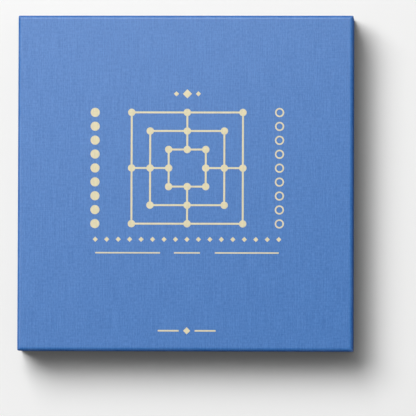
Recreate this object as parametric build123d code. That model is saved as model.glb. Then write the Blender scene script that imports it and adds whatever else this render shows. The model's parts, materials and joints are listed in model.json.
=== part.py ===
from build123d import *
import os

# A nine men's morris box: a rigid, paper-covered greyboard box with a lift-off lid.
# Inside, a three-layer foam insert seats a wooden board and two rows of nine wooden men,
# with the folded rules in a pocket under the board. The contents set the size of the box.
#
# Frame: +Z up, origin on the table under the middle of the box. The front is at -Y.
# All sizes are in millimetres.

# --- Game board ---------------------------------------------------------------------
board_width = 160.0
board_thickness = 7.0
board_corner_radius = 3.0
board_chamfer = 0.8
line_margin = 14.0  # from the board's edge to the middle of the outer square's line
line_width = 1.2
line_depth = 0.6  # of the points as well
squares = 3  # nested squares, one inside the other
point_width = 4.6  # across the flats of the square pocket at each point, set cornerwise
felt_thickness = 1.0
felt_margin = 3.0  # how far the felt stays inside the board's edge

# --- Men ----------------------------------------------------------------------------
men_per_side = 9
man_diameter = 18.0
man_height = 9.0
man_gap = 0.25  # between neighbours in a row

# --- Folded rules -------------------------------------------------------------------
leaflet_length = 148.0
leaflet_width = 105.0
leaf_thickness = 0.3
leaf_gap = 0.3  # air between the two leaves

# --- Foam insert --------------------------------------------------------------------
pad_thickness = 10.0
pocket_layer_thickness = 10.0
board_clearance = 0.5
slot_clearance = 0.4
leaflet_clearance = 1.0
pocket_corner_radius = 3.0
land_between = 4.5  # foam between the board's recess and a slot
land_outer = 4.3  # foam between a thumb well and the insert's edge
scoop_diameter = 30.0  # finger scoops at the board's left and right edges
thumb_diameter = 20.0  # deep well at one end of each slot
thumb_offset = 12.0  # from the end man's centre to the thumb well's

# --- Box ----------------------------------------------------------------------------
greyboard = 2.0
wrap_thickness = 0.3
liner_thickness = 0.2
stay_thickness = 0.12  # paper tape that holds each corner of a greyboard tray
stay_leg = 20.0
stay_end_gap = 1.5
turn_in = 15.0  # the wrap's band folded over the rim and down inside
liner_margin = 4.0  # from the rim down to the liner's edge
roll_radius = 1.8  # over the wrap, where a tray's floor rolls over into its walls
corner_radius = 1.0  # over the wrap, on a tray's upright corners
rim_bevel = 0.3  # of the wrap, on both edges of a tray's rim
insert_clearance = 0.2
lid_clearance = 0.5
headroom = 2.0  # from the men's tops to the inside of the lid
lid_table_gap = 1.5  # the base shows by this much under the lid

# --- Sizes that follow --------------------------------------------------------------
grid_pitch = (board_width - 2 * line_margin) / (2 * squares)
top_layer_thickness = board_thickness + felt_thickness
recess_width = board_width + 2 * board_clearance
slot_width = man_diameter + 2 * slot_clearance
man_pitch = man_diameter + man_gap
end_man_x = (men_per_side - 1) / 2 * man_pitch
slot_y = recess_width / 2 + land_between + slot_width / 2
thumb_x = end_man_x + thumb_offset
insert_width = 2 * max(
    slot_y + max(slot_width, thumb_diameter) / 2 + land_outer,
    thumb_x + thumb_diameter / 2 + land_outer,
    recess_width / 2 + scoop_diameter / 2 + land_outer,
)

paper_build_up = wrap_thickness + liner_thickness
floor_build_up = wrap_thickness + greyboard + liner_thickness
pad_z = floor_build_up
pocket_layer_z = pad_z + pad_thickness
top_layer_z = pocket_layer_z + pocket_layer_thickness
felt_z = top_layer_z
board_z = felt_z + felt_thickness
rim_z = top_layer_z + max(man_height, top_layer_thickness) + headroom
box_height = rim_z + floor_build_up


def square_prism(width, low_z, high_z, radius=0.0):
    """An upright square block between two heights, with rounded upright corners if asked."""
    outline = RectangleRounded(width, width, radius) if radius > 0 else Rectangle(width, width)
    return Pos(0, 0, low_z) * extrude(outline, high_z - low_z)


class Tray:
    """One covered greyboard tray, floor down and rim up, standing at z = 0.

    clear_width is the free width between the papers on its inner walls.
    """

    def __init__(self, clear_width, height):
        self.height = height
        self.board_inner = clear_width + 2 * paper_build_up
        self.board_outer = self.board_inner + 2 * greyboard
        self.outer_width = self.board_outer + 2 * wrap_thickness
        self.turn_in_z = height - turn_in

    def hollow_block(self, inset, inner_width, inner_floor_z, bevel):
        """A tray shape, whose outside is the tray's own, shrunk all round by an inset.

        Its floor edges are rolled and meet in a mitre at each rounded upright corner.
        """
        width = self.outer_width - 2 * inset
        low_z, high_z = inset, self.height - inset
        walls = square_prism(width, low_z, high_z, corner_radius - inset)
        walls -= square_prism(inner_width, inner_floor_z, self.height)
        if bevel:
            walls = chamfer(walls.edges().group_by(Axis.Z)[-1], bevel)
        rolled = square_prism(width, low_z, high_z)
        rolled = fillet(rolled.edges().group_by(Axis.Z)[0], roll_radius - inset)
        return walls & rolled

    def greyboard(self):
        """The scored and folded board: a floor and four walls."""
        floor_z = wrap_thickness + greyboard
        return self.hollow_block(wrap_thickness, self.board_inner, floor_z, bevel=0)

    def corner_stays(self):
        """Four strips of tape, one folded round each upright corner of the board."""
        low_z = roll_radius + stay_end_gap
        high_z = self.height - wrap_thickness - stay_end_gap
        radius = corner_radius - wrap_thickness
        skin = square_prism(
            self.board_outer + 2 * stay_thickness, low_z, high_z, radius + stay_thickness
        ) - square_prism(self.board_outer, low_z, high_z, radius)
        corner = self.board_outer / 2
        stays = [
            skin & (Pos(x * corner, y * corner, 0) * square_prism(2 * stay_leg, low_z, high_z))
            for x in (-1, 1)
            for y in (-1, 1)
        ]
        return Compound(children=[stay.solid() for stay in stays])

    def wrap(self):
        """The covering sheet: over the floor and walls, over the rim and down inside."""
        band_width = self.board_inner - 2 * wrap_thickness
        cover = self.hollow_block(0, band_width, self.turn_in_z, rim_bevel)
        cover -= square_prism(self.board_inner, wrap_thickness + greyboard, self.turn_in_z)
        cover -= self.greyboard()
        cover -= self.corner_stays()
        return cover

    def liner(self):
        """The lining sheet: over the floor, up the walls and stepping over the turn-in."""
        low_z = wrap_thickness + greyboard
        top_z = self.height - liner_margin
        step = self.board_inner - 2 * wrap_thickness
        outside = square_prism(self.board_inner, low_z, self.turn_in_z) + square_prism(
            step, self.turn_in_z, top_z
        )
        inside = square_prism(
            self.board_inner - 2 * liner_thickness,
            low_z + liner_thickness,
            self.turn_in_z - liner_thickness,
        ) + square_prism(step - 2 * liner_thickness, low_z + liner_thickness, top_z)
        return outside - inside


def board_with_lines():
    """The wooden board: the game's lines are cut into it, with a sunk point at each crossing."""
    blank = square_prism(board_width, 0, board_thickness, board_corner_radius)
    blank = chamfer(blank.edges().group_by(Axis.Z)[0], board_chamfer)
    blank = chamfer(blank.edges().group_by(Axis.Z)[-1], board_chamfer)

    def line(length):
        return Pos(0, 0, board_thickness - line_depth / 2) * Box(
            length + line_width, line_width, line_depth
        )

    point = Pos(0, 0, board_thickness - line_depth / 2) * Rot(0, 0, 45) * Box(
        point_width, point_width, line_depth
    )
    spoke = Pos((1 + squares) / 2 * grid_pitch, 0, 0) * line((squares - 1) * grid_pitch)
    cuts = [Rot(0, 0, 90 * quarter) * spoke for quarter in range(4)]
    for ring in range(1, squares + 1):
        half_side = ring * grid_pitch
        side = Pos(0, half_side, 0) * line(2 * half_side)
        corner_point = Pos(half_side, half_side, 0) * point
        middle_point = Pos(0, half_side, 0) * point
        for quarter in range(4):
            cuts += [Rot(0, 0, 90 * quarter) * cut for cut in (side, corner_point, middle_point)]
    return Pos(0, 0, board_z) * (blank - cuts)


def felt_backing():
    """The felt under the board."""
    width = board_width - 2 * felt_margin
    return square_prism(width, felt_z, felt_z + felt_thickness)


def man(x, y):
    """One turned man, a plain disc, standing in its slot at x, y."""
    return Pos(x, y, top_layer_z + man_height / 2) * Cylinder(man_diameter / 2, man_height)


def folded_leaflet():
    """The rules: one sheet folded once, with its fold at -X, lying in its pocket."""
    outer = leaf_thickness + leaf_gap / 2
    inner = leaf_gap / 2
    fold_x = -leaflet_length / 2 + outer
    open_x = leaflet_length / 2
    with BuildPart() as sheet:
        with BuildSketch(Plane.XZ):
            with BuildLine():
                Line((open_x, -outer), (fold_x, -outer))
                RadiusArc((fold_x, -outer), (fold_x, outer), outer)
                Line((fold_x, outer), (open_x, outer))
                Line((open_x, outer), (open_x, inner))
                Line((open_x, inner), (fold_x, inner))
                RadiusArc((fold_x, inner), (fold_x, -inner), -inner)
                Line((fold_x, -inner), (open_x, -inner))
                Line((open_x, -inner), (open_x, -outer))
            make_face()
        extrude(amount=leaflet_width / 2, both=True)
    return Pos(0, 0, pocket_layer_z + outer) * sheet.part


def slot_outline(side, with_slot):
    """One row's slot with its thumb well, or the well alone.

    side is -1 at the front and +1 at the back, which is the front turned half round.
    """
    well = Pos(thumb_x, -slot_y, 0) * Circle(thumb_diameter / 2)
    outline = well
    if with_slot:
        length = thumb_x + end_man_x + slot_width
        middle = (thumb_x - end_man_x) / 2
        outline = well + Pos(middle, -slot_y, 0) * SlotOverall(length, slot_width)
    return outline if side < 0 else Rot(0, 0, 180) * outline


def scoop_outlines():
    """The two half-hidden finger scoops at the board's left and right edges."""
    reach = recess_width / 2
    return Pos(-reach, 0, 0) * Circle(scoop_diameter / 2) + Pos(reach, 0, 0) * Circle(
        scoop_diameter / 2
    )


def insert_layer(low_z, thickness, cut_outs=None):
    """One die-cut sheet of foam."""
    sheet = Rectangle(insert_width, insert_width)
    if cut_outs is not None:
        sheet -= cut_outs
    return Pos(0, 0, low_z) * extrude(sheet, thickness)


def insert_layers():
    """The foam insert, from the pad at the bottom to the sheet that shows."""
    pocket = RectangleRounded(
        leaflet_length + 2 * leaflet_clearance,
        leaflet_width + 2 * leaflet_clearance,
        pocket_corner_radius,
    )
    recess = RectangleRounded(
        recess_width, recess_width, board_corner_radius + board_clearance
    )
    pocket_cuts = pocket + scoop_outlines() + slot_outline(-1, False) + slot_outline(1, False)
    top_cuts = recess + scoop_outlines() + slot_outline(-1, True) + slot_outline(1, True)
    return {
        "insert_base_pad": insert_layer(pad_z, pad_thickness),
        "insert_pocket_layer": insert_layer(
            pocket_layer_z, pocket_layer_thickness, pocket_cuts
        ),
        "insert_top_layer": insert_layer(top_layer_z, top_layer_thickness, top_cuts),
    }


def turned_over(shape):
    """A tray's piece with its rim down, as in the lid. Mirroring does it, as a tray is symmetric."""
    return mirror(shape, about=Plane.XY.offset(box_height / 2))


def tray_parts(prefix, tray, rim_down):
    """A tray's board, stays, wrap and liner, under their names, in place."""
    made = {
        "greyboard": tray.greyboard(),
        "corner_stays": tray.corner_stays(),
        "wrap": tray.wrap(),
        "liner": tray.liner(),
    }
    if rim_down:
        made = {name: turned_over(shape) for name, shape in made.items()}
    return {f"{prefix}_{name}": shape for name, shape in made.items()}


def men():
    """Both rows: light men at the front and dark men at the back."""
    rows = {}
    for colour, y in (("light", -slot_y), ("dark", slot_y)):
        for number in range(1, men_per_side + 1):
            x = -end_man_x + (number - 1) * man_pitch
            rows[f"{colour}_man_{number}"] = man(x, y)
    return rows


base_tray = Tray(insert_width + 2 * insert_clearance, rim_z)
lid_tray = Tray(base_tray.outer_width + 2 * lid_clearance, box_height - lid_table_gap)

parts = {
    **tray_parts("base", base_tray, rim_down=False),
    **tray_parts("lid", lid_tray, rim_down=True),
    **insert_layers(),
    "game_board": board_with_lines(),
    "board_felt": felt_backing(),
    "rules_leaflet": folded_leaflet(),
    **men(),
}

os.makedirs("parts", exist_ok=True)
for node, shape in parts.items():
    export_step(shape, f"parts/{node}.step")
print(f"lid {lid_tray.outer_width:.2f} mm wide, box {box_height:.2f} mm high, {len(parts)} nodes")
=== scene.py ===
import json
import math

import bpy
import numpy as np
from mathutils import Matrix, Vector
from mathutils.geometry import tessellate_polygon


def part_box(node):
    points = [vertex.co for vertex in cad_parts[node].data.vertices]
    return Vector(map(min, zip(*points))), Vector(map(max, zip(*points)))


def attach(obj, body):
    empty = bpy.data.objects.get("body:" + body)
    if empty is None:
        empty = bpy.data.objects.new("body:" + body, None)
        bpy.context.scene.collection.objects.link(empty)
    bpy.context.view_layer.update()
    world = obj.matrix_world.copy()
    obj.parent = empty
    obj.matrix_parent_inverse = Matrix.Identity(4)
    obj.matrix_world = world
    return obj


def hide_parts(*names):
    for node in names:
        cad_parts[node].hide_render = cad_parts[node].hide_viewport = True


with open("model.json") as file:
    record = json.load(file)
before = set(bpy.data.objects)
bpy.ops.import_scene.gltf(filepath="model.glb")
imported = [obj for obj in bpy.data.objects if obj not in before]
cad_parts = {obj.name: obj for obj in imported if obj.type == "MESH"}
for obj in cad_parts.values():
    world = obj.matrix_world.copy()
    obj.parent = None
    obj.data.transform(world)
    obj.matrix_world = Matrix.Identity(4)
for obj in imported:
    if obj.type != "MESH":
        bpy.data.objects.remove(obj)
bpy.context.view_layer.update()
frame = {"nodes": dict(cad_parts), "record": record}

# A nine men's morris box: linen-papered lid and base, foam insert, wooden board, turned men.
# Everything is in metres, in the frame of the solids: +Z up, the front of the box at -Y.

MM = 0.001

# --- Sizes read from the solids ------------------------------------------------------


def span(node):
    """A solid's lowest and highest corners as arrays."""
    low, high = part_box(node)
    return np.array(low), np.array(high)


lid_low, lid_high = span("lid_wrap")
base_low, base_high = span("base_wrap")
lid_half, base_half = lid_high[0], base_high[0]
board_top = span("game_board")[1][2]
felt_low, felt_high = span("board_felt")

# --- Sizes of the papered trays ------------------------------------------------------
ROLL_IN = 2.3 * MM  # how far in from a wall the flat face starts to roll over into it
ROLL_DOWN = 2.1 * MM  # how far from the face, along the wall, the roll ends
CORNER = 0.7 * MM  # radius of a tray's upright corners
FOLD = 0.38 * MM  # radius of its rolled edge's folds, sharp enough to cover the greyboard there
FOLD_DEPTH = 0.4 * ROLL_DOWN  # from where the folds open out into the upright corners
MITRE = 0.15 * MM  # radius of the corners inside a tray
WALL = 2.6 * MM  # a tray's wall at the rim: board and the paper on both its sides
MITRE_FROM = 0.8 * WALL  # how far in from the outside the corners start to sharpen to a mitre
RIM = 0.5 * MM  # radius of the paper over the rim
TURN_IN = 15.0 * MM  # how far the paper runs down inside
PAPER = 0.14 * MM
FLAP = 13.0 * MM  # glue flap that runs round each corner under the front and back
LAP = 0.08 * MM  # how much the paper stands up over a flap
LAP_FADE = 2.0 * MM  # over which it comes down again where the flap ends
LAP_END = np.array([0.32, 0.1]) * MM  # from where to where, before a corner, it comes down too

FACE_RINGS = (6.0 * MM, 0.5 * MM)  # how far inside the roll the flat face has its two rings
BACK_RING = 3.0 * MM  # and how far inside it the paper's back has its one
WALL_SHARES = (0.02, 0.06, 0.2, 0.5, 0.8, 0.97)  # of the wall's height, where it has rings
ARC_STEPS = 8  # round an upright corner: an even number, so that its middle is a point
ROLL_STEPS = 14
RIM_STEPS = 5
# The walls' matt paper, whose deeper blue is painted shade, starts at this row of a tray's section, six
# of the roll's steps round.
WALL_ROW = len(FACE_RINGS) + 6
# Where the points of half a side lie: how far from its end, of 114 in all. They are close
# together at the corner and where a flap ends.
SIDE_POINTS = np.array([0, 0.12, 0.3, 0.5, 1.2, 4, 8, 11, 12, 13, 14, 16, 24, 44, 74, 114])
SIDE_SHARES = 1 - SIDE_POINTS / SIDE_POINTS[-1]
TOUCH = 1e-9  # two places nearer than this are the same

# --- Sizes of the foil ---------------------------------------------------------------
INK = 0.05 * MM  # how much it stands up from the lid's face
LINE_RISE = 0.7 * INK  # its lines lie lower, so that the points cover their crossings
FOIL_ROUND = 0.6  # share of its height that its edges round off

# Places come from the photograph: its pixels over the lid's face, from the face's middle.
PIXEL = 0.6838 * MM
FACE_MIDDLE = np.array([185.08, 183.02])

PRINT_X = 187.0  # pixel column of the print's middle
MILL_Y = 168.0  # pixel rows of the mill board's middle and of the ornaments
MARK_Y = 93.5
LOZENGES_Y = 239.5
RULES_Y = 253.0
FOOT_Y = 331.0

MILL_PITCH = 18.6 * PIXEL  # from each of the three squares to the next
MILL_LINE = 1.9 * PIXEL
MILL_POINT = 3.7 * PIXEL  # radius of the points
MEN_OUT = 92.5 * PIXEL  # from the mill's middle to a column of men
MAN_DISC = 4.6 * PIXEL  # radius of a printed man, and of the hole in a ring
MAN_HOLE = 3.1 * PIXEL
LOZENGE = 2.6 * PIXEL  # half of a small lozenge's width
LOZENGE_XS = np.linspace(95, 279, 17)  # pixel columns
RULES = ((127.5, 32.5), (187.0, 13.0), (247.0, 32.0))  # middle and half length, in pixels
RULE_HALF = 0.7 * PIXEL
MARK = ((-11.0, 2.6), (0.0, 4.6), (11.0, 2.6))  # a lozenge's shift and half width, in pixels
FOOT_OUT = 18.5  # from the foot's lozenge to the middle of its bars, in pixels
FOOT_BAR = np.array([10.5, 0.8]) * PIXEL
FOOT_LOZENGE = 3.6 * PIXEL

# --- Sizes of the foam insert --------------------------------------------------------
RECESS = 80.5 * MM  # half of the board's recess
RECESS_CORNER = 3.5 * MM
SCOOP = 15.0 * MM  # radius of the finger scoops at its left and right
SLOT = 9.4 * MM  # half of a slot's width
SLOT_Y = 94.4 * MM
END_MAN_X = 73.0 * MM
WELL_X = 85.0 * MM
WELL = 10.0 * MM  # radius of the thumb wells
POCKET = np.array([75.0, 53.5]) * MM  # half of the rules' pocket
POCKET_CORNER = 3.0 * MM
FOAM_CORNER = 1.0 * MM
FOAM_ROUND = 0.7 * MM  # of the edges that show
FOAM_HIDDEN_ROUND = 0.3 * MM  # of the upper edges under another layer
FOAM_UNDER_ROUND = 0.15 * MM
FLAT_RING = 0.05 * MM  # width of the flat ring inside a rounded edge
SLIVER = 1e-14  # twice the area of a triangle that is too thin to keep

# --- Sizes of the men and the felt ---------------------------------------------------
MAN_FOOT = 0.5 * MM  # radius of the edge under a man
MAN_RIM = 1.3 * MM  # radius of the edge round its top
MAN_DISH = 0.85 * MM  # depth of its dished top
DISH_SLOPES = 1.7  # how many of the dish's slopes would fit between its rim and its middle
# Height from the middle of a man's groove, and the groove's depth there.
MAN_GROOVE = np.array([(-0.5, 0), (-0.28, 0.14), (0, 0.22), (0.28, 0.14), (0.5, 0)]) * MM
MAN_POINTS = 56  # round its axis
PLANK_REACH = 0.5  # the men are cut from anywhere in a plank that reaches this far each way
FELT_CORNER = 1.5 * MM
FELT_ROUND = 0.35 * MM

# --- Surfaces ------------------------------------------------------------------------


def piece(name, vertices, faces, material, body, slot, sharp=None):
    """A mesh piece from an array of points and lists of point numbers, riding on a body."""
    mesh = bpy.data.meshes.new(name)
    mesh.from_pydata(np.asarray(vertices).tolist(), [], faces)
    mesh.validate()
    mesh.shade_smooth()
    if sharp is not None:
        mesh.set_sharp_from_angle(angle=math.radians(sharp))
    mesh.materials.append(material)
    made = bpy.data.objects.new(name, mesh)
    bpy.context.scene.collection.objects.link(made)
    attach(made, body)
    return made


def smooth_step(value, low, high):
    """0 below low, 1 above high and 3t^2 - 2t^3 between them."""
    t = np.clip((value - low) / (high - low), 0, 1)
    return t * t * (3 - 2 * t)


def ring_quads(rings, points, first=0):
    """Quads between neighbouring closed rings of points, numbered ring after ring."""
    ring, point = np.meshgrid(np.arange(rings - 1), np.arange(points), indexing="ij")
    after = (point + 1) % points
    corner = [ring * points + point, ring * points + after]
    corner += [(ring + 1) * points + after, (ring + 1) * points + point]
    return first + np.stack(corner, axis=-1).reshape(-1, 4)


def closed_rings(rings, first_middle, last_middle):
    """Points and faces of rings joined in turn, with a fan to a middle point over each end.

    rings has an axis for the rings, one for the points round a ring, and one for x, y and z.
    """
    count, points = rings.shape[:2]
    vertices = np.concatenate([rings.reshape(-1, 3), [first_middle, last_middle]])
    around = np.arange(points)
    after = (around + 1) % points
    last = (count - 1) * points
    first_fan = np.stack([np.full(points, count * points), after, around], axis=-1)
    last_fan = np.stack([np.full(points, count * points + 1), last + around, last + after], axis=-1)
    return vertices, ring_quads(count, points).tolist() + first_fan.tolist() + last_fan.tolist()


def turned(loop):
    """A loop of points with its direction turned round."""
    return loop[::-1]


def offset_loop(loop, distance):
    """A closed loop moved to its left by a distance, along the mean of each corner's normals."""
    ahead = np.roll(loop, -1, axis=0) - loop
    ahead /= np.linalg.norm(ahead, axis=1)[:, None]
    behind = np.roll(ahead, 1, axis=0)
    left_ahead = np.column_stack([-ahead[:, 1], ahead[:, 0]])
    left_behind = np.column_stack([-behind[:, 1], behind[:, 0]])
    middle = left_ahead + left_behind
    middle /= np.sum(middle * left_ahead, axis=1)[:, None]
    return loop + middle * distance


def slab_section(low_z, high_z, round_low, round_high, steps):
    """How far in and how high each ring of a slab's wall is, with a quarter circle at each end.

    A flat ring follows each quarter circle, so that the shading stays level inside it.
    """
    angles = np.linspace(0, math.pi / 2, steps + 1)
    quarter = [(1 - math.sin(a), 1 - math.cos(a)) for a in angles]
    section = [(0, low_z)]
    if round_low > 0:
        section = [(round_low + FLAT_RING, low_z)]
        section += [(round_low * inward, low_z + round_low * up) for inward, up in quarter]
    if round_high > 0:
        section += [(round_high * inward, high_z - round_high * down) for down, inward in quarter]
        section += [(round_high + FLAT_RING, high_z)]
    else:
        section += [(0, high_z)]
    return section


def slab_arrays(loops, low_z, high_z, round_low, round_high, steps=4):
    """Points and faces of a flat piece with rounded edges.

    loops are its outline, anticlockwise, and its openings, clockwise. The wall of each is its
    loop carried up, moved in by the section, and the two faces are filled between the loops.
    """
    section = slab_section(low_z, high_z, round_low, round_high, steps)
    vertices, faces, first, bottom, top = [], [], 0, [], []
    for loop in loops:
        points = len(loop)
        for inset, z in section:
            ring = offset_loop(loop, inset) if inset > 0 else loop
            vertices.append(np.column_stack([ring, np.full(points, z)]))
        faces += ring_quads(len(section), points, first).tolist()
        bottom.append((vertices[-len(section)], first))
        top.append((vertices[-1], first + (len(section) - 1) * points))
        first += len(section) * points
    for rings, facing in ((bottom, -1), (top, 1)):
        numbers = np.concatenate([start + np.arange(len(ring)) for ring, start in rings])
        flat = np.concatenate([ring[:, :2] for ring, _ in rings])
        fill = tessellate_polygon([[Vector(point) for point in ring] for ring, _ in rings])
        for triangle in fill:
            a, b, c = flat[list(triangle)]
            turn = (b[0] - a[0]) * (c[1] - a[1]) - (b[1] - a[1]) * (c[0] - a[0])
            if abs(turn) > SLIVER:
                order = triangle if turn * facing > 0 else triangle[::-1]
                faces.append([int(numbers[i]) for i in order])
    return np.concatenate(vertices), faces


def joined(arrays):
    """Several sets of points and faces as one."""
    vertices, faces, first = [], [], 0
    for points, numbers in arrays:
        vertices.append(points)
        faces += [[first + n for n in face] for face in numbers]
        first += len(points)
    return np.concatenate(vertices), faces


def arc(centre, radius, start, end, steps):
    """Points along a circle's arc, angles in degrees."""
    angles = np.radians(np.linspace(start, end, steps + 1))
    x = centre[0] + radius * np.cos(angles)
    y = centre[1] + radius * np.sin(angles)
    return np.column_stack([x, y])


def disc(centre, radius, steps=40):
    """A circle, anticlockwise."""
    return arc(centre, radius, 0, 360, steps)[:-1]


def rounded_box(half, radius, steps):
    """A square with rounded corners round the middle, anticlockwise."""
    reach = half - radius
    return np.concatenate([
        arc((x * reach, y * reach), radius, start, start + 90, steps)
        for x, y, start in ((1, -1, -90), (1, 1, 0), (-1, 1, 90), (-1, -1, 180))
    ])


# --- Finishes ------------------------------------------------------------------------


class Wiring:
    """A node tree being wired. An input takes a number, a colour or another node's output."""

    def __init__(self, tree):
        self.tree = tree

    def fill(self, node, inputs):
        """A node's inputs set, each by its name or number."""
        for key, value in inputs.items():
            if isinstance(value, bpy.types.NodeSocket):
                self.tree.links.new(value, node.inputs[key])
            else:
                node.inputs[key].default_value = value

    def add(self, kind, inputs=None, **settings):
        node = self.tree.nodes.new("ShaderNode" + kind)
        for name, value in settings.items():
            setattr(node, name, value)
        self.fill(node, inputs or {})
        return node

    def place(self, tree, inputs):
        """A group placed with its own values: its outputs by name."""
        node = self.tree.nodes.new("ShaderNodeGroup")
        node.node_tree = tree
        self.fill(node, inputs)
        return node.outputs

    def math(self, operation, *values, clamp=False):
        inputs = dict(enumerate(values))
        return self.add("Math", inputs, operation=operation, use_clamp=clamp).outputs[0]

    def parts(self, vector):
        """A vector's x, y and z."""
        return self.add("SeparateXYZ", {0: vector}).outputs

    def scaled(self, vector, scale, shift=(0, 0, 0)):
        """A vector for a noise. A shift keeps two noises from showing the same pattern."""
        inputs = {"Vector": vector, "Scale": scale, "Location": shift}
        return self.add("Mapping", inputs).outputs[0]

    def noise(self, vector, scale=1.0, detail=2.0, roughness=0.5, distortion=0.0):
        inputs = {"Vector": vector, "Scale": scale, "Detail": detail}
        inputs |= {"Roughness": roughness, "Distortion": distortion}
        return self.add("TexNoise", inputs).outputs["Fac"]

    def spread(self, value, low, high, to_low=0.0, to_high=1.0):
        """A value from low to high carried over to another span, and held at its ends."""
        inputs = {"Value": value, "From Min": low, "From Max": high}
        inputs |= {"To Min": to_low, "To Max": to_high}
        return self.add("MapRange", inputs).outputs["Result"]

    def mean(self, first, second, share):
        """Two values added, the first by its share and the second by the rest."""
        rest = self.math("MULTIPLY", second, 1 - share)
        return self.math("ADD", self.math("MULTIPLY", first, share), rest)

    def blend(self, share, first, second):
        """A colour between two. Mix takes its colours at inputs 6 and 7."""
        node = self.add("Mix", data_type="RGBA", blend_type="MIX")
        self.fill(node, {0: share, 6: first, 7: second})
        return node.outputs[2]

    def toned(self, colour, tone, strength):
        """A colour made lighter where tone is over a half and darker where it is under."""
        gain = self.spread(tone, 0, 1, 1 - strength, 1 + strength)
        return self.add("VectorMath", {0: colour, "Scale": gain}, operation="SCALE").outputs[0]

    def object_place(self):
        return self.add("TexCoord").outputs["Object"]

    def seen(self):
        """1 for a ray from the camera, or one that came by a reflection or through glass."""
        path = self.add("LightPath").outputs
        either = self.math("ADD", path["Is Camera Ray"], path["Is Glossy Ray"])
        return self.math("ADD", either, path["Is Transmission Ray"], clamp=True)

    def bump(self, surface, height, distance):
        """A surface embossed by a height, which is the distance deep at 1."""
        bump = self.add("Bump", {"Height": height, "Distance": distance})
        self.fill(surface, {"Normal": bump.outputs["Normal"]})


def group(name, inputs, outputs, wire):
    """A node group with named inputs and outputs, wired by a function."""
    tree = bpy.data.node_groups.new(name, "ShaderNodeTree")
    for label, kind, value in inputs:
        socket = tree.interface.new_socket(label, in_out="INPUT", socket_type="NodeSocket" + kind)
        if value is not None:
            socket.default_value = value
    for label, kind in outputs:
        tree.interface.new_socket(label, in_out="OUTPUT", socket_type="NodeSocket" + kind)
    start = tree.nodes.new("NodeGroupInput")
    end = tree.nodes.new("NodeGroupOutput")
    made = wire(Wiring(tree), start.outputs)
    for label, _ in outputs:
        tree.links.new(made[label], end.inputs[label])
    return tree


# In the groups, the numbers given to scaled are a noise's waves a metre: for linen along the
# weft, along the warp and through the paper, and for beech along, across and through the plank.


def wire_linen(w, given):
    """Linen-embossed paper. Fine threads cross as the product of two sines, and slubs are
    noise drawn out along the warp, long and short, and more faintly along the weft."""
    vector = given["Vector"]
    wander = w.noise(w.scaled(vector, (260, 260, 260)), detail=1.0)
    parts = w.parts(vector)
    turns = w.math("DIVIDE", 2 * math.pi, given["Thread"])
    shift = w.math("MULTIPLY", w.math("SUBTRACT", wander, 0.5), 5.0)
    across = w.math("SINE", w.math("ADD", w.math("MULTIPLY", parts[0], turns), shift))
    along = w.math("SINE", w.math("ADD", w.math("MULTIPLY", parts[1], turns), shift))
    weave = w.spread(w.math("MULTIPLY", across, along), -1, 1)
    long_warp = w.noise(w.scaled(vector, (1500, 48, 1500)), detail=1.0)
    short_warp = w.noise(w.scaled(vector, (1600, 420, 1600), shift=(3, 5, 2)), detail=1.0)
    weft = w.noise(w.scaled(vector, (160, 1500, 1500), shift=(7, 3, 1)), detail=1.0)
    cloud = w.noise(w.scaled(vector, (70, 55, 70)), detail=2.0)
    slub = w.mean(w.mean(long_warp, short_warp, 0.45), weft, 0.76)
    tone = w.mean(slub, cloud, 0.92)
    height = w.mean(weave, slub, 0.35)
    return {"Tone": w.spread(tone, 0.38, 0.62), "Height": height, "Weave": weave}


def wire_grain(w, given):
    """Beech: growth lines are noise drawn out along the plank, rays are short dark flecks."""
    vector = given["Vector"]
    bend = w.noise(w.scaled(vector, (9, 40, 40)), detail=2.0)
    lines = w.noise(w.scaled(vector, (14, 420, 420)), detail=4.0, roughness=0.62, distortion=0.4)
    broad = w.noise(w.scaled(vector, (5, 60, 60)), detail=2.0, distortion=0.6)
    fleck = w.spread(w.noise(w.scaled(vector, (420, 2600, 2600)), detail=1.0), 0.62, 0.72)
    pores = w.noise(w.scaled(vector, (500, 6500, 6500)), detail=1.0)
    tone = w.math("ADD", w.math("MULTIPLY", lines, 0.55), w.math("MULTIPLY", broad, 0.3))
    tone = w.math("ADD", tone, w.math("MULTIPLY", bend, 0.15))
    share = w.spread(tone, 0.38, 0.62)
    plank = w.blend(share, given["Dark"], given["Light"])
    colour = w.blend(w.math("MULTIPLY", fleck, 0.35), plank, given["Dark"])
    return {"Color": colour, "Height": w.mean(pores, lines, 0.6), "Tone": share}


def wire_fibres(w, given):
    """Short fibres lying every way: fine noise over a coarser one that clumps them."""
    fine = w.noise(given["Vector"], given["Scale"], detail=3.0, roughness=0.7, distortion=1.2)
    clumps = w.noise(given["Vector"], w.math("MULTIPLY", given["Scale"], 0.12), detail=2.0)
    return {"Tone": w.spread(w.mean(fine, clumps, 0.6), 0.35, 0.65), "Height": fine}


def wire_wear_and_highlight(w, given):
    """Where a square piece is paler, partly as rubbed wear and partly as painted highlight: along its
    upright corners, and less and in patches along its other edges. Each mask is the product of how
    near two of its outer faces are, and the upright one fades out towards the folds at its end."""
    parts = w.parts(given["Vector"])
    gaps = [w.math("SUBTRACT", given["Half"], w.math("ABSOLUTE", parts[n])) for n in (0, 1)]
    gaps.append(w.math("ABSOLUTE", w.math("SUBTRACT", given["Top"], parts[2])))
    near_x, near_y, near_top = [
        w.math("SUBTRACT", 1.0, w.math("DIVIDE", gap, given["Reach"]), clamp=True) for gap in gaps
    ]
    along = w.math("ADD", w.math("MULTIPLY", near_x, near_top), w.math("MULTIPLY", near_y, near_top))
    patch = w.spread(w.noise(given["Vector"], 90.0, detail=4.0), 0.35, 0.65, 0.0, 0.3)
    upright = w.math("MULTIPLY", near_x, near_y)
    upright = w.math("MULTIPLY", upright, w.math("SUBTRACT", 1.0, near_top))
    return {"Mask": w.math("ADD", w.math("MULTIPLY", along, patch), upright, clamp=True)}


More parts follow.
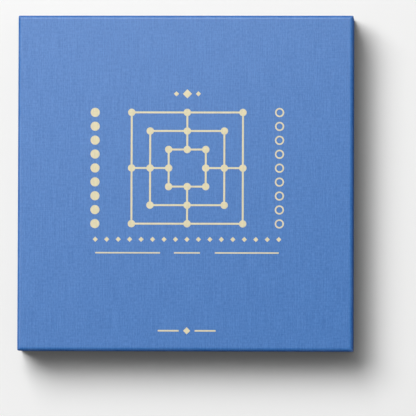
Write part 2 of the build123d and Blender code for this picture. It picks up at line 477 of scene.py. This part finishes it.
VECTOR = ("Vector", "Vector", None)
linen = group(
    "linen embossing",
    [VECTOR, ("Thread", "Float", 0.45 * MM)],
    [("Tone", "Float"), ("Height", "Float"), ("Weave", "Float")],
    wire_linen,
)
grain = group(
    "beech grain",
    [VECTOR, ("Light", "Color", (1, 1, 1, 1)), ("Dark", "Color", (0, 0, 0, 1))],
    [("Color", "Color"), ("Height", "Float"), ("Tone", "Float")],
    wire_grain,
)
fibres = group(
    "short fibres",
    [VECTOR, ("Scale", "Float", 1000.0)],
    [("Tone", "Float"), ("Height", "Float")],
    wire_fibres,
)
# Paler edges and corners: partly rubbed wear, partly painted highlight.
wear_and_highlight = group(
    "wear and painted highlight on edges",
    [VECTOR, ("Half", "Float", 0.1), ("Top", "Float", 0.03), ("Reach", "Float", 0.002)],
    [("Mask", "Float")],
    wire_wear_and_highlight,
)


def finish(name):
    """A new material with only a Principled surface and its output: (material, wiring, surface)."""
    material = bpy.data.materials.new(name)
    material.use_nodes = True
    return material, Wiring(material.node_tree), material.node_tree.nodes["Principled BSDF"]


# The paper's name, mean colour and gloss, on the flat face and on the walls, where the deeper blue is
# painted shade.
PAPERS = (
    ("satin_linen", (0.030, 0.1635, 0.485), 0.5),
    ("matt_linen_painted_shade", (0.031, 0.143, 0.47), 0.12),
)
THREAD = (0.016, 0.031, 0.052)  # how far the palest and deepest threads lie from the blue
WORN_AND_HIGHLIT = (0.42, 0.52, 0.72, 1)  # the pale blue of rubbed wear and painted highlight
WEAR_AND_HIGHLIGHT = 0.45  # how much of that the most rubbed edges show, as wear and as painted highlight
WEAR_AND_HIGHLIGHT_REACH = 2.2 * MM
THROWN_BACK = (0.16, 0.165, 0.17, 1)  # colour of the paper for the light that bounces off it
SMOOTH = (0.35, 0.46)  # roughness of the pressed face, in the weave's hollows and on its threads
WALL_ROUGHER = 0.5  # how much rougher the walls are
ROLL_FROM, ROLL_TO = 0.4 * MM, 1.9 * MM  # how far from the face they get so
LINEN_DEPTH = 0.045 * MM
FOIL = (0.717, 0.645, 0.408)
BURNT = (0.055, 0.028, 0.014, 1)  # the wood in the board's lines
BURNT_UNDER = 0.1 * MM  # how far under the board's top the burnt wood starts
BURNT_DEPTH = 0.25 * MM  # how much further down it is at its darkest
BURNT_SHARE = 0.9


def shifted(colour, shift, side):
    """A colour moved by a shift, to its pale side at 1 and to its deep side at -1."""
    return tuple(c + side * s for c, s in zip(colour, shift)) + (1,)


def linen_paper(name, colour, half, face_z, gloss):
    """Blue printed paper embossed as linen, a little paler at its edges and corners, partly as wear
    from handling and partly as painted highlight.
    """
    material, w, surface = finish(name)
    place = w.object_place()
    weave = w.place(linen, {"Vector": w.add("UVMap", uv_map="sheet").outputs["UV"]})
    where = {"Vector": place, "Half": half, "Top": face_z, "Reach": WEAR_AND_HIGHLIGHT_REACH}
    # The paler edges and corners are partly wear and partly painted highlight.
    worn_and_highlit = w.math("MULTIPLY", w.place(wear_and_highlight, where)["Mask"], WEAR_AND_HIGHLIGHT)
    toned = w.blend(weave["Tone"], shifted(colour, THREAD, -1), shifted(colour, THREAD, 1))
    # Light that bounces off the paper onto the table stays neutral, as in the photograph.
    bounced = w.add("LightPath").outputs["Is Diffuse Ray"]
    shown = w.blend(bounced, w.blend(worn_and_highlit, toned, WORN_AND_HIGHLIT), THROWN_BACK)
    # The flat face was pressed smooth in the making, and the walls were not.
    from_face = w.math("ABSOLUTE", w.math("SUBTRACT", w.parts(place)[2], face_z))
    rougher = w.spread(from_face, ROLL_FROM, ROLL_TO, 0.0, WALL_ROUGHER)
    roughness = w.math("ADD", w.spread(weave["Weave"], 0, 1, *SMOOTH), rougher)
    w.fill(surface, {"Base Color": shown, "Roughness": roughness, "Specular IOR Level": gloss})
    w.bump(surface, weave["Height"], LINEN_DEPTH)
    return material


def foil(name):
    """Cream foil pressed into the linen, so that the weave shows through it faintly."""
    material, w, surface = finish(name)
    weave = w.place(linen, {"Vector": w.object_place()})
    w.fill(surface, {"Base Color": w.toned(FOIL, weave["Tone"], 0.07), "Roughness": 0.48})
    w.bump(surface, weave["Height"], 0.02 * MM)
    return material


def fibrous(name, colour, scale, tone, depth, roughness, sheen=0.0, sheen_tint=(1, 1, 1)):
    """Paper, felt or flock: short fibres that tone and roughen one colour."""
    material, w, surface = finish(name)
    hair = w.place(fibres, {"Vector": w.object_place(), "Scale": scale})
    w.fill(surface, {
        "Base Color": w.toned(colour, hair["Tone"], tone),
        "Roughness": roughness,
        "Sheen Weight": sheen,
        "Sheen Roughness": 0.5,
        "Sheen Tint": (*sheen_tint, 1),
    })
    w.bump(surface, hair["Height"], depth)
    return material


def oiled_beech(name, light, dark, cut_below=None, roughness=0.42, own_grain=False):
    """Oiled beech. Where cut_below is a height, what lies under it is burnt into the wood. Its
    grain follows the piece's place, or its own map called grain."""
    material, w, surface = finish(name)
    if own_grain:
        vector = w.add("Attribute", attribute_name="grain").outputs["Vector"]
    else:
        vector = w.object_place()
    wood = w.place(grain, {"Vector": vector, "Light": (*light, 1), "Dark": (*dark, 1)})
    colour = wood["Color"]
    if cut_below is not None:
        burnt = w.spread(w.parts(w.object_place())[2], cut_below, cut_below - BURNT_DEPTH)
        colour = w.blend(w.math("MULTIPLY", burnt, BURNT_SHARE), colour, BURNT)
    w.fill(surface, {
        "Base Color": colour,
        "Roughness": w.spread(wood["Tone"], 0, 1, roughness + 0.08, roughness),
        "Coat Weight": 0.08,
        "Coat Roughness": 0.3,
    })
    w.bump(surface, wood["Height"], 0.03 * MM)
    return material


def tray_papers(tray, half, face_z):
    """A tray's satin and matt paper."""
    return [linen_paper(f"{name}_{tray}", blue, half, face_z, gloss) for name, blue, gloss in PAPERS]


lid_papers = tray_papers("lid", lid_half, lid_high[2])
base_papers = tray_papers("base", base_half, base_low[2])
cream_foil = foil("cream_foil")
# Colour, fibres a metre, tone, depth and roughness, and for cloth its sheen and the sheen's tint.
liner_paper = fibrous("liner_paper", (0.78, 0.745, 0.66), 1400.0, 0.05, 0.02 * MM, 0.7)
rules_paper = fibrous("rules_paper", (0.82, 0.80, 0.74), 1600.0, 0.03, 0.012 * MM, 0.6)
kraft_tape = fibrous("kraft_tape", (0.47, 0.30, 0.16), 900.0, 0.12, 0.03 * MM, 0.6)
greyboard = fibrous("greyboard", (0.27, 0.255, 0.23), 800.0, 0.2, 0.05 * MM, 0.8)
flock = fibrous(
    "flocked_foam", (0.02, 0.039, 0.115), 2600.0, 0.35, 0.1 * MM, 0.9, 0.35, (0.35, 0.5, 0.9)
)
felt = fibrous("felt", (0.024, 0.048, 0.15), 1500.0, 0.4, 0.12 * MM, 0.95, 0.5, (0.4, 0.5, 0.85))
board_beech = oiled_beech(
    "board_beech", (0.66, 0.43, 0.245), (0.47, 0.27, 0.13), cut_below=board_top - BURNT_UNDER
)
light_beech = oiled_beech("light_beech", (0.70, 0.48, 0.29), (0.50, 0.30, 0.155), own_grain=True)
dark_beech = oiled_beech(
    "stained_beech", (0.026, 0.052, 0.135), (0.009, 0.02, 0.06), roughness=0.36, own_grain=True
)

# --- The two papered trays -----------------------------------------------------------


def square_ring(reach, radius):
    """Points round a square whose flats are reach from the middle, with rounded corners.

    Each quarter runs from the middle of one corner to the middle of the next: half an arc, the
    flat at fixed shares of its length, and half an arc. The quarters face +X, +Y, -X and -Y.
    """
    flat = reach - radius
    shares = np.concatenate([-SIDE_SHARES, SIDE_SHARES[-2::-1]])
    angles = np.linspace(0, math.pi / 4, ARC_STEPS // 2 + 1)
    lower = np.stack([np.cos(angles[:0:-1]), -np.sin(angles[:0:-1])], axis=-1) * radius
    upper = np.stack([np.cos(angles[1:-1]), np.sin(angles[1:-1])], axis=-1) * radius
    quarter = np.concatenate([
        lower + [flat, -flat],
        np.stack([np.full(shares.size, reach), shares * flat], axis=-1),
        upper + [flat, flat],
    ])
    turns = [np.array([[c, s], [-s, c]]) for c, s in ((1, 0), (0, 1), (-1, 0), (0, -1))]
    return np.concatenate([quarter @ turn for turn in turns])


def tray_profile(half, height):
    """A papered tray's section, from the middle of its flat face out, over the rim and back.

    Rows are the distance from the middle, the distance from the flat face towards the rim, and 1
    where the wall shows its outside. The roll is a quarter ellipse and the rim two quarter
    circles, and the inside runs back at the paper's thickness.
    """
    roll = np.linspace(0, math.pi / 2, ROLL_STEPS + 1)
    rim = [(RIM * math.sin(a), RIM * math.cos(a)) for a in np.linspace(0, math.pi / 2, RIM_STEPS + 1)]
    flat = half - ROLL_IN
    wall = height - RIM - ROLL_DOWN
    inner = half - WALL
    back = inner + PAPER
    thin_in, thin_down = ROLL_IN - PAPER, ROLL_DOWN - PAPER
    rows = [(flat - gap, 0, 0) for gap in FACE_RINGS]
    rows += [(flat + ROLL_IN * math.sin(a), ROLL_DOWN - ROLL_DOWN * math.cos(a), 0) for a in roll]
    rows += [(half, ROLL_DOWN + share * wall, 1) for share in WALL_SHARES]
    rows += [(half - RIM + across, height - RIM + up, 0) for up, across in rim]
    rows += [(inner + RIM - across, height - RIM + up, 0) for across, up in rim]
    rows += [(inner, height - share * TURN_IN, 0) for share in (0.25, 0.5, 0.75, 1)]
    rows += [(back, height - TURN_IN, 0), (back, height - RIM, 0)]
    rows += [(back + RIM, height - PAPER, 0), (half - PAPER - RIM, height - PAPER, 0)]
    rows += [(half - PAPER, height - RIM - PAPER, 0), (half - PAPER, ROLL_DOWN, 0)]
    rows += [
        (flat + thin_in * math.sin(a), ROLL_DOWN - thin_down * math.cos(a), 0) for a in roll[-3:0:-2]
    ]
    rows += [(flat - BACK_RING, PAPER, 0)]
    return np.array(rows)


def tray_ring(half, reach, level, outside):
    """One row of a tray's section carried round its corners, which are sharp on the flat face
    and inside, and open out down the roll.

    Where the wall shows its outside, it lies LAP deeper than its row, apart from the front and
    back over the flaps that come round from the left and right.
    """
    radius = FOLD + (CORNER - FOLD) * smooth_step(level, FOLD_DEPTH, ROLL_DOWN)
    radius += (MITRE - radius) * smooth_step(half - reach, MITRE_FROM, WALL)
    ring = square_ring(reach, radius)
    if not outside:
        return ring
    facing_front = np.abs(np.abs(ring[:, 1]) - reach) < TOUCH
    along = np.abs(ring[:, 0])
    bare = 1 - smooth_step(along, reach - FLAP, reach - FLAP + LAP_FADE)
    end = smooth_step(along, *(reach - CORNER - LAP_END))
    deeper = LAP * np.where(facing_front, np.maximum(bare, end), 1)
    out = np.sign(ring) * (np.abs(ring) > half - CORNER)
    return ring - out * deeper[:, None]


def lay_sheet(mesh, vertices, out):
    """A map called sheet with the paper's own flat coordinates, in metres, so that its weave runs
    on over the edges: along the side as it is, and outwards by out, the length along the section.
    """
    corners = np.empty(len(mesh.loops), dtype=np.int64)
    mesh.loops.foreach_get("vertex_index", corners)
    totals = np.empty(len(mesh.polygons), dtype=np.int64)
    mesh.polygons.foreach_get("loop_total", totals)
    centres = np.empty(len(mesh.polygons) * 3)
    mesh.polygons.foreach_get("center", centres)
    centre = np.repeat(centres.reshape(-1, 3), totals, axis=0)
    place = vertices[corners]
    faces_x = np.abs(centre[:, 0]) > np.abs(centre[:, 1])
    outward = np.where(faces_x, np.sign(centre[:, 0]), np.sign(centre[:, 1])) * out[corners]
    sheet = np.where(
        faces_x[:, None],
        np.column_stack([outward, place[:, 1]]),
        np.column_stack([place[:, 0], outward]),
    )
    mesh.uv_layers.new(name="sheet").data.foreach_set("uv", sheet.astype(np.float32).ravel())


def papered_tray(name, half, face_z, height, up, papers, body, node):
    """The paper over a tray: rings of a rounded square at each row of the tray's section.

    up is 1 where the rim is above the flat face and -1 where it is below. papers are the satin
    paper of the flat face and the matt one of the walls, a deeper blue as painted shade, which starts
    on the roll.
    """
    rows = tray_profile(half, height)
    rings = []
    for reach, level, outside in rows:
        ring = tray_ring(half, reach, level, outside)
        rings.append(np.column_stack([ring, np.full(len(ring), face_z + up * level)]))
    count, points = len(rings), len(rings[0])
    vertices, faces = closed_rings(np.array(rings), (0, 0, face_z), (0, 0, face_z + up * PAPER))
    if up < 0:
        faces = [face[::-1] for face in faces]
    made = piece(name, vertices, faces, papers[0], body, "wrap_paper")
    # The walls' paper: its deeper blue is painted shade.
    made.data.materials.append(papers[1])
    paper = np.zeros(len(faces), dtype=np.int32)
    paper[: (count - 1) * points] = np.repeat(np.arange(count - 1) >= WALL_ROW, points)
    made.data.polygons.foreach_set("material_index", paper)

    step = np.hypot(np.diff(rows[:, 0]), np.diff(rows[:, 1]))
    out = rows[0, 0] + np.concatenate([[0], np.cumsum(step)])
    lay_sheet(made.data, vertices, np.concatenate([np.repeat(out, points), [0, out[-1] + half]]))
    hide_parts(node)


lid_face = lid_high[2] - INK
lid_depth = lid_face - lid_low[2]
base_depth = base_high[2] - base_low[2]
papered_tray("lid_linen_wrap", lid_half, lid_face, lid_depth, -1, lid_papers, "lid", "lid_wrap")
papered_tray("base_linen_wrap", base_half, base_low[2], base_depth, 1, base_papers, "base", "base_wrap")

# --- Print on the lid ----------------------------------------------------------------


def on_face(x, y):
    """A point of the lid's face from a pixel of the photograph."""
    return np.array([x - FACE_MIDDLE[0], FACE_MIDDLE[1] - y]) * PIXEL


def printed(name, shapes, rise=INK):
    """Foil shapes: each is an outline and its openings, laid on the lid's face."""
    low, high = lid_face - INK, lid_face + rise
    arrays = [slab_arrays(loops, low, high, 0, rise * FOIL_ROUND, steps=2) for loops in shapes]
    piece(name, *joined(arrays), cream_foil, "lid", "wrap_paper", sharp=50)


def bar(centre, half_x, half_y):
    """A rectangle, as a shape that has an outline and no opening."""
    corners = ((-1, -1), (1, -1), (1, 1), (-1, 1))
    return [np.array([(centre[0] + x * half_x, centre[1] + y * half_y) for x, y in corners])]


def frame_line(centre, half, width):
    """A square line: an outline and the opening inside it."""
    outer = bar(centre, half + width / 2, half + width / 2)[0]
    inner = bar(centre, half - width / 2, half - width / 2)[0]
    return [outer, turned(inner)]


def lozenge(centre, half):
    """A square on its corner, as such a shape too."""
    corners = ((1, 0), (0, 1), (-1, 0), (0, -1))
    return [np.array([(centre[0] + x * half, centre[1] + y * half) for x, y in corners])]


def print_mill(middle):
    """A mill board: three nested squares, joined across the middles of their sides, with a point
    on each corner and crossing."""
    lines = [frame_line(middle, ring * MILL_PITCH, MILL_LINE) for ring in (1, 2, 3)]
    half_gap = (MILL_PITCH - MILL_LINE) / 2
    for x, y in ((1, 0), (0, 1), (-1, 0), (0, -1)):
        half_x, half_y = (half_gap, MILL_LINE / 2) if x else (MILL_LINE / 2, half_gap)
        for ring in (1, 2):
            centre = middle + np.array([x, y]) * (ring + 0.5) * MILL_PITCH
            lines.append(bar(centre, half_x, half_y))
    printed("lid_print_lines", lines, LINE_RISE)
    places = [(x, y) for x in (-1, 0, 1) for y in (-1, 0, 1) if (x, y) != (0, 0)]
    points = [
        [disc(middle + np.array(place) * ring * MILL_PITCH, MILL_POINT)]
        for ring in (1, 2, 3) for place in places
    ]
    printed("lid_print_points", points)


def print_men(middle):
    """A column of nine discs on the mill's left, and one of nine rings on its right."""
    men = []
    for row in np.linspace(-1, 1, 9):
        for side in (-1, 1):
            centre = middle + np.array([side * MEN_OUT, row * 3 * MILL_PITCH])
            loops = [disc(centre, MAN_DISC)]
            if side > 0:
                loops.append(turned(disc(centre, MAN_HOLE)))
            men.append(loops)
    printed("lid_print_men", men)


def print_ornaments():
    """A row of lozenges and three rules under the mill, a mark over it, and a foot."""
    printed("lid_print_row", [lozenge(on_face(x, LOZENGES_Y), LOZENGE) for x in LOZENGE_XS])
    rules = [bar(on_face(x, RULES_Y), half * PIXEL, RULE_HALF) for x, half in RULES]
    printed("lid_print_rules", rules)
    mark = [lozenge(on_face(PRINT_X + shift, MARK_Y), half * PIXEL) for shift, half in MARK]
    printed("lid_print_mark", mark)
    foot = [bar(on_face(PRINT_X + shift, FOOT_Y), *FOOT_BAR) for shift in (-FOOT_OUT, FOOT_OUT)]
    foot.append(lozenge(on_face(PRINT_X, FOOT_Y), FOOT_LOZENGE))
    printed("lid_print_foot", foot)


print_mill(on_face(PRINT_X, MILL_Y))
print_men(on_face(PRINT_X, MILL_Y))
print_ornaments()

# --- Foam insert ---------------------------------------------------------------------


def slot_loop(side):
    """A row's slot with its round thumb well at one end, anticlockwise."""
    # The well's arc starts and ends where it meets the slot's sides.
    meet = math.sqrt(WELL**2 - SLOT**2)
    angle = math.degrees(math.atan2(SLOT, -meet))
    loop = np.concatenate([
        arc((-END_MAN_X, 0), SLOT, 90, 270, steps=24),
        arc((WELL_X, 0), WELL, -angle, angle, steps=40),
    ])
    loop = loop + [0, -SLOT_Y]
    return loop if side < 0 else -loop


def scooped_loop(half_x, half_y, radius, angle, scoop_steps):
    """A box with rounded corners and a finger scoop at its left and right, anticlockwise. A scoop
    runs round by an angle each way from its outermost point."""
    x, y = half_x - radius, half_y - radius
    right = np.concatenate([
        arc((x, -y), radius, -90, 0, steps=6),
        arc((RECESS, 0), SCOOP, -angle, angle, scoop_steps),
        arc((x, y), radius, 0, 90, steps=6),
    ])
    return np.concatenate([right, -right])


def foam_layer(name, node, openings, round_high):
    """A slab of flocked foam in a solid's place, cut through by the openings."""
    low, high = span(node)
    outline = rounded_box(high[0], FOAM_CORNER, steps=3)
    loops = [outline] + [turned(loop) for loop in openings]
    arrays = slab_arrays(loops, low[2], high[2], FOAM_UNDER_ROUND, round_high)
    made = piece(name, *arrays, flock, "base", "flocked_foam", sharp=60)
    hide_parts(node)


recess = scooped_loop(RECESS, RECESS, RECESS_CORNER, 90, scoop_steps=36)
pocket_angle = math.degrees(math.acos((POCKET[0] - RECESS) / SCOOP))
pocket = scooped_loop(*POCKET, POCKET_CORNER, pocket_angle, scoop_steps=44)
wells = [disc((WELL_X, -SLOT_Y), WELL, steps=48), disc((-WELL_X, SLOT_Y), WELL, steps=48)]
foam_layer("foam_top_layer", "insert_top_layer", [recess, slot_loop(-1), slot_loop(1)], FOAM_ROUND)
foam_layer("foam_pocket_layer", "insert_pocket_layer", [pocket, *wells], FOAM_HIDDEN_ROUND)
foam_layer("foam_base_pad", "insert_base_pad", [], FOAM_HIDDEN_ROUND)

# --- Men -----------------------------------------------------------------------------


def body_with(node):
    """The body that a solid rides on."""
    for body, nodes in frame["record"]["behaviour"]["bodies"].items():
        if node in nodes:
            return body
    raise ValueError(node)


def man_profile(radius, height):
    """A man's turned outline, from the middle of its foot up to the middle of its dished top.

    Rows are radius and height: a small foot round, a straight wall with a fine groove round
    it, a round rim, and a dish that is a shallow cosine.
    """
    foot = np.linspace(0, math.pi / 2, 5)
    rim = np.linspace(0, math.pi / 2, 8)
    inner = radius - MAN_RIM
    rows = [(radius * share, 0) for share in (0.45, 0.8)]
    rows += [
        (radius - MAN_FOOT + MAN_FOOT * math.sin(a), MAN_FOOT - MAN_FOOT * math.cos(a)) for a in foot
    ]
    rows += [(radius - depth, height / 2 + rise) for rise, depth in MAN_GROOVE]
    rows += [(inner + MAN_RIM * math.cos(a), height - MAN_RIM + MAN_RIM * math.sin(a)) for a in rim]
    for share in np.linspace(0, 1, 9)[1:-1]:
        fall = MAN_DISH * 0.5 * (1 - math.cos(math.pi * min(share * DISH_SLOPES, 1)))
        rows.append((inner * (1 - share), height - fall))
    return np.array(rows)


def turned_man(name, node, material, slot, seed):
    """A man's outline carried round its axis. The map called grain turns the wood its own way."""
    low, high = span(node)
    height = high[2] - low[2]
    rows = man_profile((high[0] - low[0]) / 2, height)
    angles = np.arange(MAN_POINTS) * 2 * math.pi / MAN_POINTS
    x = rows[:, :1] * np.cos(angles)
    y = rows[:, :1] * np.sin(angles)
    z = np.repeat(rows[:, 1:], MAN_POINTS, axis=1)
    local, faces = closed_rings(np.stack([x, y, z], axis=-1), (0, 0, 0), (0, 0, height - MAN_DISH))
    place = np.array([(low[0] + high[0]) / 2, (low[1] + high[1]) / 2, low[2]])
    made = piece(name, local + place, faces, material, body_with(node), slot, sharp=70)
    random = np.random.default_rng(seed)
    turn = random.uniform(0, 2 * math.pi)
    cos, sin = math.cos(turn), math.sin(turn)
    across = cos * local[:, 0] - sin * local[:, 1]
    along = sin * local[:, 0] + cos * local[:, 1]
    wood = np.column_stack([across, along, local[:, 2]])
    wood = wood + random.uniform(-PLANK_REACH, PLANK_REACH, 3)
    own_grain = made.data.attributes.new("grain", "FLOAT_VECTOR", "POINT")
    own_grain.data.foreach_set("vector", wood.astype(np.float32).ravel())
    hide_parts(node)


for number in range(1, 10):
    light, dark = f"light_man_{number}", f"dark_man_{number}"
    turned_man(f"light_turned_man_{number}", light, light_beech, "beech", seed=number)
    turned_man(f"dark_turned_man_{number}", dark, dark_beech, "stained_beech", seed=100 + number)

# --- Felt ----------------------------------------------------------------------------
felt_loop = rounded_box(felt_high[0], FELT_CORNER, steps=4)
felt_arrays = slab_arrays([felt_loop], felt_low[2], felt_high[2], FELT_ROUND, 0)
felt_piece = piece("board_felt_sheet", *felt_arrays, felt, "board", "felt", sharp=60)
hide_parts("board_felt")

# --- Solids that show as they are ----------------------------------------------------
KEPT = {
    "game_board": board_beech,
    "lid_liner": liner_paper,
    "base_liner": liner_paper,
    "lid_greyboard": greyboard,
    "base_greyboard": greyboard,
    "lid_corner_stays": kraft_tape,
    "base_corner_stays": kraft_tape,
    "rules_leaflet": rules_paper,
}
for node, material in KEPT.items():
    for solid_slot in frame["nodes"][node].material_slots:
        solid_slot.material = material

# --- Table, light and camera ---------------------------------------------------------
TABLE_REACH = 6.0
TABLE_THROWN_BACK = (0.55, 0.55, 0.55, 1)  # colour of the table for the light on the box
TABLE_SEEN = (0.93, 0.93, 0.927, 1)
# A lamp's name, place, width, power in watts, and whether it shows in gloss alone.
LAMPS = (
    ("key", (-1.37, 1.74, 3.25), 2.45, 163.0, False),
    ("sheen_card", (-0.13, 0.2, 0.95), 0.35, 0.95, True),
    ("back_edge_card", (0.0, 0.49, 0.92), 0.22, 2.9, True),
    ("left_edge_card", (-0.65, 0.0, 0.88), 0.25, 2.3, True),
)
ROOM_OVERHEAD = 0.15  # how pale the room is overhead, and how much paler at the horizon
ROOM_PALER = 0.75
ROOM_LIGHT = 0.18  # what it throws on the box
ROOM_LEAN = (0.3, 0.4)  # how much more of that comes from the right and from behind
PHOTOGRAPH = 416  # pixels along its side
LENS = 500.0  # millimetres, as the sensor
SENSOR = 36.0
EYE = (0.185, -0.155)  # where over the table the camera is
EYE_TURN = math.radians(0.1)
NEAREST = 0.01  # the camera sees from here
FARTHEST = 60.0  # to here


def table_top():
    """A wide pale table. It is paler where it is seen than in the light that it throws back."""
    material, w, surface = finish("table")
    w.fill(surface, {
        "Base Color": w.blend(w.seen(), TABLE_THROWN_BACK, TABLE_SEEN),
        "Roughness": 0.85,
        "Specular IOR Level": 0.1,
    })
    mesh = bpy.data.meshes.new("table")
    corners = [(x * TABLE_REACH, y * TABLE_REACH, 0) for x, y in ((-1, -1), (1, -1), (1, 1), (-1, 1))]
    mesh.from_pydata(corners, [], [(0, 1, 2, 3)])
    mesh.materials.append(material)
    table = bpy.data.objects.new("table", mesh)
    bpy.context.scene.collection.objects.link(table)


def softbox(name, place, width, power, gloss_alone):
    """A square lamp that faces the middle of the box."""
    lamp = bpy.data.lights.new(name, "AREA")
    lamp.size = width
    lamp.energy = power
    made = bpy.data.objects.new(name, lamp)
    made.location = place
    made.rotation_euler = Vector(place).to_track_quat("Z", "Y").to_euler()
    made.visible_diffuse = not gloss_alone
    bpy.context.scene.collection.objects.link(made)


def studio_room():
    """Soft even light from all round, and a pale room where it is seen or reflected.

    The room is dim overhead and grows paler towards the horizon, with the fourth power of
    1 - sin(elevation). What falls on the box comes more from the right and from behind.
    """
    world = bpy.data.worlds.new("studio")
    bpy.context.scene.world = world
    world.use_nodes = True
    w = Wiring(world.node_tree)
    way = w.parts(w.add("TexCoord").outputs["Generated"])
    fall = w.math("SUBTRACT", 1.0, w.math("MAXIMUM", way[2], 0.0))
    room = w.math("MULTIPLY_ADD", w.math("POWER", fall, 4.0), ROOM_PALER, ROOM_OVERHEAD)
    lean = w.math("MULTIPLY_ADD", way[1], ROOM_LEAN[1], 1.0)
    lean = w.math("MULTIPLY_ADD", way[0], ROOM_LEAN[0], lean)
    straight = w.add("LightPath").outputs["Is Camera Ray"]
    strength = w.spread(w.seen(), 0, 1, ROOM_LIGHT, room)
    strength = w.math("MULTIPLY", strength, w.spread(straight, 0, 1, lean, 1.0))
    w.fill(world.node_tree.nodes["Background"], {"Color": (1, 1, 1, 1), "Strength": strength})


def camera_overhead():
    """A long lens, from far over the box's front right, so that its top fills the view squarely
    and only a hair of its front and right walls shows. Its height gives the top its PIXEL."""
    optics = bpy.data.cameras.new("camera")
    optics.lens = LENS
    optics.sensor_width = SENSOR
    optics.clip_start = NEAREST
    optics.clip_end = FARTHEST
    camera = bpy.data.objects.new("camera", optics)
    rise = PHOTOGRAPH * PIXEL * LENS / SENSOR
    aim = Vector((*on_face(PHOTOGRAPH / 2, PHOTOGRAPH / 2), lid_high[2]))
    camera.location = (*EYE, lid_high[2] + rise)
    back = (camera.location - aim).normalized()
    across = Vector((math.cos(EYE_TURN), math.sin(EYE_TURN), 0))
    across = (across - back * across.dot(back)).normalized()
    camera.rotation_euler = Matrix((across, back.cross(across), back)).transposed().to_euler()
    bpy.context.scene.collection.objects.link(camera)
    bpy.context.scene.camera = camera


table_top()
for lamp in LAMPS:
    softbox(*lamp)
studio_room()
camera_overhead()
bpy.context.scene.view_settings.view_transform = "Standard"
